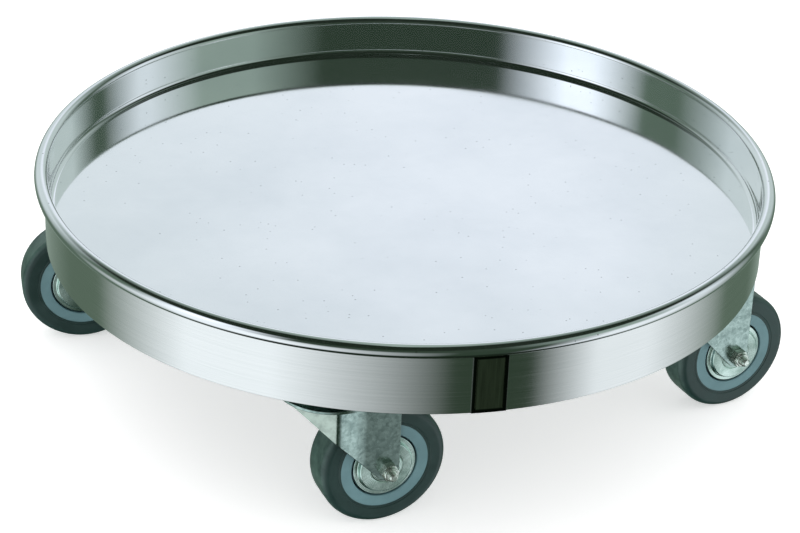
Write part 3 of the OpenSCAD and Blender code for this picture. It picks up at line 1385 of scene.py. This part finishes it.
    def _far_leg(self) -> Mesh:
        """The leg on the other side of the wheel.

        Returns:
            The mirrored leg.
        """
        bm = self._leg()
        bmesh.ops.scale(bm, vec=(1, -1, 1), verts=bm.verts[:])
        bmesh.ops.recalc_face_normals(bm, faces=bm.faces[:])
        return bm

    def _leg(self) -> Mesh:
        """One leg, drawn in plan, raised, trimmed to its side outline, given its thickness and its front wing
        marked for the finish's painted highlight.

        Returns:
            The leg on the side away from the nut.
        """
        bm = bmesh.new()
        out = self.leg_out
        line = [(self.trail + self.foot_r, out), (self.waist_x, out), (self.brow_x, out + self.flare),
                self.front]
        start = self.axle_z - self.foot_r - 1.0
        verts = [bm.verts.new((x * MM, y * MM, start * MM)) for x, y in line]
        for pair in zip(verts, verts[1:]):
            bm.edges.new(pair)
        for vert, radius in zip(verts[1:3], self.bends):
            bmesh.ops.bevel(bm, geom=[vert], offset=radius * MM, offset_type="OFFSET", segments=6,
                            profile=0.5, affect="VERTICES", material=-1)
        made = bmesh.ops.extrude_edge_only(bm, edges=bm.edges[:])["geom"]
        raised = [g for g in made if isinstance(g, bmesh.types.BMVert)]
        bmesh.ops.translate(bm, vec=(0, 0, (self.fork_top - 1.0 - start) * MM), verts=raised)
        self._trim(bm)
        bmesh.ops.recalc_face_normals(bm, faces=bm.faces[:])
        if sum(f.normal.y * f.calc_area() for f in bm.faces) < 0:
            bmesh.ops.reverse_faces(bm, faces=bm.faces[:])
        bmesh.ops.solidify(bm, geom=bm.faces[:], thickness=self.sheet * MM)
        # painted highlight: marks the front wing, ahead of the set x, so its finish paints it paler and less
        # metallic in place of the bright light it mirrors
        layer = bm.verts.layers.float.new(PAINTED_HIGHLIGHT)
        for vert in bm.verts:
            vert[layer] = 1.0 if vert.co.x < self.painted_highlight_end * MM else 0.0
        return bm

    def _trim(self, bm: Mesh) -> None:
        """Cuts the leg's front along its slant and rounds its foot about the axle.

        Args:
            bm: the leg's sheet.
        """
        count = 14
        first = 180.0 + 90.0 - self.slant
        for k in range(count + 1):
            angle = math.radians(first + (360.0 - first) * k / count)
            way = Vector((math.cos(angle), 0, math.sin(angle)))
            spot = Vector((self.trail * MM, 0, self.axle_z * MM)) + way * self.foot_r * MM
            bmesh.ops.bisect_plane(bm, geom=bm.verts[:] + bm.edges[:] + bm.faces[:], dist=1e-7,
                                   plane_co=spot, plane_no=way, use_snap_center=False,
                                   clear_outer=True, clear_inner=False)

    def _head(self) -> Mesh:
        """The fork's round head, squared off at the back.

        Returns:
            The flat head with its bore.
        """
        edge_x = math.sqrt(self.head_r ** 2 - self.leg_out ** 2)
        arc = [p for p in circle_line(self.head_r, count=96) if p[0] < edge_x - 0.5]
        first = [p for p in arc if p[1] >= 0]
        last = [p for p in arc if p[1] < 0]
        back = self.trail + self.foot_r
        line = [(back, self.leg_out), (edge_x, self.leg_out), *first, *last, (edge_x, -self.leg_out),
                (back, -self.leg_out)]
        return extruded([line, circle_line(self.head_bore, count=32)], self.fork_top - self.sheet, self.sheet)

    # axle

    def axle_bolt(self) -> Mesh:
        """The axle screw: head on one side, thread and domed tip past the nut on the other.

        Returns:
            The screw, on the axle.
        """
        bolts = self.frame_work
        tip = self.leg_out + bolts.nut_h + self.collar_h + self.tip_h
        start, shoulder = -self.leg_out - 0.1, self.leg_out - 3.0
        core = self.axle_r - 0.55
        shank = turned([(0, start), (core, start), (core, tip - 1.0), (2.6, tip), (0, tip)], {3: 0.5}, 28)
        plain = turned([(0, start), (self.axle_r, start), (self.axle_r, shoulder), (0, shoulder)], steps=28)
        ridge = thread(self.axle_r, self.thread_deep, THREAD_PITCH, self.thread_turns, tip - 14.4)
        head = hexagon(bolts.spanner, start - bolts.head_h, bolts.head_h)
        return self.about_axle(merged([shank, plain, ridge, head]))

    def axle_nut(self) -> Mesh:
        """The locking nut: a hexagon with a rolled collar.

        Returns:
            The nut, on the axle.
        """
        bolts, base = self.frame_work, self.leg_out
        body = hexagon(bolts.spanner, base, bolts.nut_h, bolts.nut_bore)
        low, top = base + bolts.nut_h - 0.2, base + bolts.nut_h + self.collar_h
        collar = turned([(bolts.nut_bore, low), (self.collar_r, low), (self.collar_r, top),
                         (bolts.nut_bore, top)], {2: 0.9, 3: 0.3}, 32)
        return self.about_axle(merged([body, collar]))

    def covers(self) -> Mesh:
        """The two pressed dust covers."""
        return self.about_axle(merged([self._cover(1.0), self._cover(-1.0)]))

    def _cover(self, side: float) -> Mesh:
        """One cover: a flat middle with a pressed ring, a step and a rolled rim.

        Args:
            side: 1 for the nut's side of the wheel and -1 for the other.

        Returns:
            The cover, with its axis on Z.
        """
        inner, rim = self.cover_in, self.tyre_half - self.cover_lift
        out, rim_out = inner + self.cover_sheet, rim + self.cover_sheet
        step, ring = self.cover_step, self.cover_ring
        points = [(self.cover_bore, inner), (step, inner), (step + 1.3, rim), (self.cover_r, rim),
                  (self.cover_r, rim_out), (step + 2.1, rim_out), (step + 0.8, out), (ring + 1.0, out),
                  (ring, out - 0.6), (ring - 1.0, out), (self.cover_bore, out)]
        flipped = [(r, side * y) for r, y in points]
        return turned(flipped, {2: 0.5, 3: 0.45, 4: 0.45, 5: 0.5, 6: 0.7}, 64, 4)

    # wheel

    def hub(self) -> Mesh:
        """The moulded hub: flat rim ring, web, boss and bearing seats.

        Returns:
            The hub, on the axle.
        """
        half = self.tyre_half - 0.2
        side = [(self.hub_bore, self.bearing_in), (self.bearing_seat, self.bearing_in),
                (self.bearing_seat, self.boss_w), (self.boss_r, self.boss_w), (self.boss_r, self.web),
                (self.recess_r, self.web), (self.recess_r, half), (self.tread_r, half)]
        points = [(r, -z) for r, z in side] + side[::-1]
        rounding = {3: 0.5, 4: 1.0, 5: 1.5, 6: 0.8, 9: 0.8, 10: 1.5, 11: 1.0, 12: 0.5}
        return self.about_axle(turned(points, rounding, 72, 3))

    def bearings(self) -> Mesh:
        """The two ball bearings."""
        return self.about_axle(merged([self._bearing(1.0), self._bearing(-1.0)]))

    def _bearing(self, side: float) -> Mesh:
        """One ball bearing, with its shield set in between the rings.

        Args:
            side: 1 for the nut's side of the wheel and -1 for the other.

        Returns:
            The bearing, with its axis on Z.
        """
        inner, outer = self.bearing_in, self.boss_w - 0.1
        sunk, (shield_in, shield_out) = outer - 0.6, self.shield
        points = [(self.bore_r, inner), (self.bearing_out, inner), (self.bearing_out, outer),
                  (shield_out, outer), (shield_out, sunk), (shield_in, sunk), (shield_in, outer),
                  (self.bore_r, outer)]
        return turned([(r, side * y) for r, y in points], {2: 0.5, 7: 0.4}, 48, 2)

    def tyre(self) -> Mesh:
        """The tyre: round shoulders, shallow grooves in its walls and a fine mould line on its tread.

        Returns:
            The tyre, on the axle.
        """
        half, outer, inner = self.tyre_half, self.tyre_r, self.tread_r
        crown, sunk = outer - self.mould_line, half - self.wall_groove
        groove = [(inner + 1.2, half), (inner + 1.6, sunk), (inner + 2.4, sunk), (inner + 2.8, half)]
        side = [(inner, half), *groove, (crown, half), (crown, 0.5)]
        line = [*((r, -z) for r, z in side), (outer, 0.0), *reversed(side)]
        return self.about_axle(turned(line, {5: self.shoulder, 9: self.shoulder}, 96, 8))


# ---------------------------------------------------------------- studio


@dataclass(frozen=True)
class Card:
    """A bright or dark card round the studio: its bearing from the camera's side, its width and its grey."""

    bearing: float
    width: float
    grey: float

    def edges(self) -> list[Point]:
        """The bearing and grey of the card's two edges, cut off at the far side."""
        ends = (self.bearing - self.width / 2, self.bearing + self.width / 2)
        return [(end, self.grey) for end in ends if end <= 180.0]


@dataclass
class Studio:
    """Pale floor, soft light and the surroundings that the bright metal mirrors.

    The bearings of the cards are in degrees from the camera's side, to the right of it positive. A
    card's grey is what the metal mirrors from it, and each edge is where one level fades into the next,
    as the sine of the height looked at.
    """

    floor_size: float = 14.0
    camera_side: float = 236.7
    floor_colour: Colour = (0.95, 0.95, 0.95)
    low_blue: float = 0.50
    high_blue: float = 0.54
    floor_glow: float = 0.50
    lamp_size: float = 2.6
    lamp_power: float = 9.0
    lamp_place: tuple[float, float, float] = (-0.9, 0.7, 2.6)
    sky: float = 1.0
    pit: float = 0.02
    pit_edge: Point = (-0.92, -0.70)
    low_edge: Point = (-0.22, 0.22)
    top_edge: Point = (0.46, 0.66)
    low_cards: Sequence[Card] = (
        Card(-120, 20, 0.15), Card(-55, 30, 1.0), Card(30, 25, 0.05), Card(75, 20, 0.9),
        Card(135, 20, 0.15), Card(180, 20, 0.4))
    high_cards: Sequence[Card] = (
        Card(-150, 30, 0.7), Card(-95, 15, 0.15), Card(-60, 10, 1.2), Card(0, 60, 0.05),
        Card(65, 20, 0.35), Card(100, 5, 0.8), Card(125, 5, 0.1), Card(155, 20, 0.6), Card(180, 10, 0.9))
    top_cards: Sequence[Card] = (Card(0, 240, 0.02), Card(180, 10, 0.4))

    def build(self) -> None:
        """Makes the floor, the lights and the surroundings."""
        self.floor()
        self.lamps()
        self.surroundings()

    def floor(self) -> None:
        """A wide pale floor that the metal doesn't mirror."""
        bm = bmesh.new()
        bmesh.ops.create_circle(bm, cap_ends=True, cap_tris=False, segments=64, radius=self.floor_size / 2)
        mesh = bpy.data.meshes.new("floor")
        bm.to_mesh(mesh)
        bm.free()
        paint = Wiring("pale_floor")
        colour = paint.ramp(paint.noise(3.0), [(0.3, self.floor_colour), (0.7, self.floor_colour)])
        paint.surface.inputs["Emission Color"].default_value = (1.0, 1.0, 1.0, 1.0)
        paint.finish(colour, paint.span(paint.noise(20.0), 0.85, 0.95), None, Metallic=0.0,
                     Emission_Strength=self.floor_glow)
        mesh.materials.append(paint.material)
        floor = bpy.data.objects.new("floor", mesh)
        bpy.context.scene.collection.objects.link(floor)
        floor.visible_glossy = False

    def lamps(self) -> None:
        """One broad soft lamp overhead."""
        data = bpy.data.lights.new("overhead_softbox", "AREA")
        data.shape = "DISK"
        data.size = self.lamp_size
        data.energy = self.lamp_power
        lamp = bpy.data.objects.new("overhead_softbox", data)
        lamp.location = self.lamp_place
        lamp.rotation_euler = (-lamp.location).to_track_quat("-Z", "Y").to_euler()
        lamp.visible_glossy = False
        bpy.context.scene.collection.objects.link(lamp)

    def surroundings(self) -> None:
        """White for the light that falls on things, and rings of bright and dark cards for reflections."""
        world = bpy.data.worlds.new("studio")
        bpy.context.scene.world = world
        world.use_nodes = True
        tree = world.node_tree
        tree.nodes.clear()
        mirrored = tree.nodes.new("ShaderNodeBackground")
        tree.links.new(self._room(tree), mirrored.inputs["Color"])
        plain = tree.nodes.new("ShaderNodeBackground")
        plain.inputs["Color"].default_value = (1.0, 1.0, 1.0, 1.0)
        plain.inputs["Strength"].default_value = self.sky
        path = tree.nodes.new("ShaderNodeLightPath")
        mix = tree.nodes.new("ShaderNodeMixShader")
        tree.links.new(path.outputs["Is Glossy Ray"], mix.inputs["Fac"])
        tree.links.new(plain.outputs[0], mix.inputs[1])
        tree.links.new(mirrored.outputs[0], mix.inputs[2])
        out = tree.nodes.new("ShaderNodeOutputWorld")
        tree.links.new(mix.outputs[0], out.inputs["Surface"])

    def _room(self, tree: bpy.types.NodeTree) -> bpy.types.NodeSocket:
        """What the bright metal mirrors: a dark pit below, a low and a high ring of cards and a top.

        Args:
            tree: the world's node tree.

        Returns:
            The colour in the direction looked in.
        """
        low = self._ring(tree, self.low_cards, self.low_blue)
        high = self._ring(tree, self.high_cards, self.high_blue)
        top = self._ring(tree, self.top_cards, self.high_blue)
        pit = tree.nodes.new("ShaderNodeRGB")
        pit.outputs[0].default_value = self._tinge(self.pit, self.low_blue)
        cards = self._blend(tree, self._height(tree, *self.low_edge), low, high)
        raised = self._blend(tree, self._height(tree, *self.pit_edge), pit.outputs[0], cards)
        return self._blend(tree, self._height(tree, *self.top_edge), raised, top)

    def _direction(self, tree: bpy.types.NodeTree) -> bpy.types.NodeSocket:
        """The direction looked in, with the side that faces the camera turned to +X.

        Args:
            tree: the world's node tree.

        Returns:
            The turned direction.
        """
        place = tree.nodes.new("ShaderNodeTexCoord")
        around = tree.nodes.new("ShaderNodeVectorRotate")
        around.rotation_type = "Z_AXIS"
        around.inputs["Angle"].default_value = -math.radians(self.camera_side)
        tree.links.new(place.outputs["Generated"], around.inputs["Vector"])
        return around.outputs["Vector"]

    def _ring(self, tree: bpy.types.NodeTree, cards: Sequence[Card], blue: float
              ) -> bpy.types.NodeSocket:
        """A ring of cards that fade into each other, the last of them on the side away from the camera.

        Args:
            tree: the world's node tree.
            cards: the cards in order, left to right.
            blue: how far the bright ones lean to blue.

        Returns:
            The ring's colour.
        """
        stops = [(-180.0, cards[-1].grey), *(edge for card in cards for edge in card.edges()),
                 (180.0, cards[-1].grey)]
        radial = tree.nodes.new("ShaderNodeTexGradient")
        radial.gradient_type = "RADIAL"
        tree.links.new(self._direction(tree), radial.inputs["Vector"])
        ramp = tree.nodes.new("ShaderNodeValToRGB")
        elements = ramp.color_ramp.elements
        while len(elements) < len(stops):
            elements.new(0.5)
        for element, (angle, grey) in zip(elements, stops):
            element.position = 0.5 + angle / 360.0
            element.color = self._tinge(grey, blue)
        ramp.color_ramp.interpolation = "LINEAR"
        tree.links.new(radial.outputs["Fac"], ramp.inputs["Fac"])
        return ramp.outputs["Color"]

    @staticmethod
    def _tinge(grey: float, blue: float) -> tuple[float, float, float, float]:
        """A grey that leans to green where it is dark and, by the share of blue, to blue where bright."""
        share = min(grey / 0.9, 1.0) ** 0.5
        return (grey * (0.50 + 0.43 * share), grey, grey * (0.55 + blue * share), 1.0)

    def _height(self, tree: bpy.types.NodeTree, low: float, high: float) -> bpy.types.NodeSocket:
        """From 0 to 1 as the direction looked in rises from low to high.

        Args:
            tree: the world's node tree.
            low: the height that gives 0.
            high: the height that gives 1.

        Returns:
            The share.
        """
        parts = tree.nodes.new("ShaderNodeSeparateXYZ")
        tree.links.new(self._direction(tree), parts.inputs[0])
        node = tree.nodes.new("ShaderNodeMapRange")
        node.interpolation_type = "SMOOTHSTEP"
        node.inputs["From Min"].default_value = low
        node.inputs["From Max"].default_value = high
        tree.links.new(parts.outputs["Z"], node.inputs["Value"])
        return node.outputs["Result"]

    @staticmethod
    def _blend(tree: bpy.types.NodeTree, share: bpy.types.NodeSocket, first: bpy.types.NodeSocket,
               second: bpy.types.NodeSocket) -> bpy.types.NodeSocket:
        """Two colours mixed by a share.

        Args:
            tree: the world's node tree.
            share: how much of the second there is.
            first: the colour at 0.
            second: the colour at 1.

        Returns:
            The mixed colour.
        """
        node = tree.nodes.new("ShaderNodeMix")
        node.data_type = "RGBA"
        tree.links.new(share, node.inputs["Factor"])
        tree.links.new(first, node.inputs[6])
        tree.links.new(second, node.inputs[7])
        return node.outputs[2]


@dataclass
class Viewpoint:
    """The camera: raised, a little left of the front, with a long lens. Angles are in degrees."""

    distance: float = 2.0653
    side: float = -33.26
    height: float = 26.51
    roll: float = 2.32
    lens: float = 112.056
    nod: float = 2.3183
    yaw: float = 0.03635
    aim: Vector = field(default_factory=lambda: Vector((0.0, 0.0, 0.193)))

    def build(self) -> None:
        """Makes the camera and sets it as the scene's own."""
        tilt, around = math.radians(self.height), math.radians(self.side)
        back = Vector((math.sin(around) * math.cos(tilt), -math.cos(around) * math.cos(tilt),
                       math.sin(tilt)))
        right = Vector((math.cos(around), math.sin(around), 0.0))
        data = bpy.data.cameras.new("camera")
        data.lens = self.lens
        data.sensor_width = 36.0
        data.clip_start, data.clip_end = 0.05, 60.0
        camera = bpy.data.objects.new("camera", data)
        bpy.context.scene.collection.objects.link(camera)
        camera.matrix_world = Matrix.Translation(self.aim + back * self.distance) @ self._facing(back, right)
        bpy.context.scene.camera = camera

    def _facing(self, back: Vector, right: Vector) -> Matrix:
        """Turns the camera towards its aim and then by its nod, yaw and roll.

        Args:
            back: the direction from the aim to the camera.
            right: the level direction to the camera's right.

        Returns:
            The camera's turn.
        """
        forward, up = self._swung(-back, right.cross(-back), self.nod)
        forward, right = self._swung(forward, right, self.yaw)
        right, up = self._swung(right, up, -self.roll)
        return Matrix((right, up, -forward)).transposed().to_4x4()

    @staticmethod
    def _swung(first: Vector, second: Vector, degrees: float) -> tuple[Vector, Vector]:
        """Two directions at right angles, both turned away from the second by an angle in degrees."""
        c, s = math.cos(math.radians(degrees)), math.sin(math.radians(degrees))
        return c * first - s * second, c * second + s * first


def main() -> None:
    """Builds the studio, the tray, the underframe and the casters."""
    logging.basicConfig(level=logging.INFO, format="%(message)s")
    bpy.context.scene.view_settings.view_transform = "Standard"
    finishes = Finishes()
    Studio().build()
    Viewpoint().build()
    Tray(finishes).build()
    underframe = Underframe(finishes)
    underframe.build()
    Caster(finishes, underframe).build()


if __name__ == "__main__":
    main()
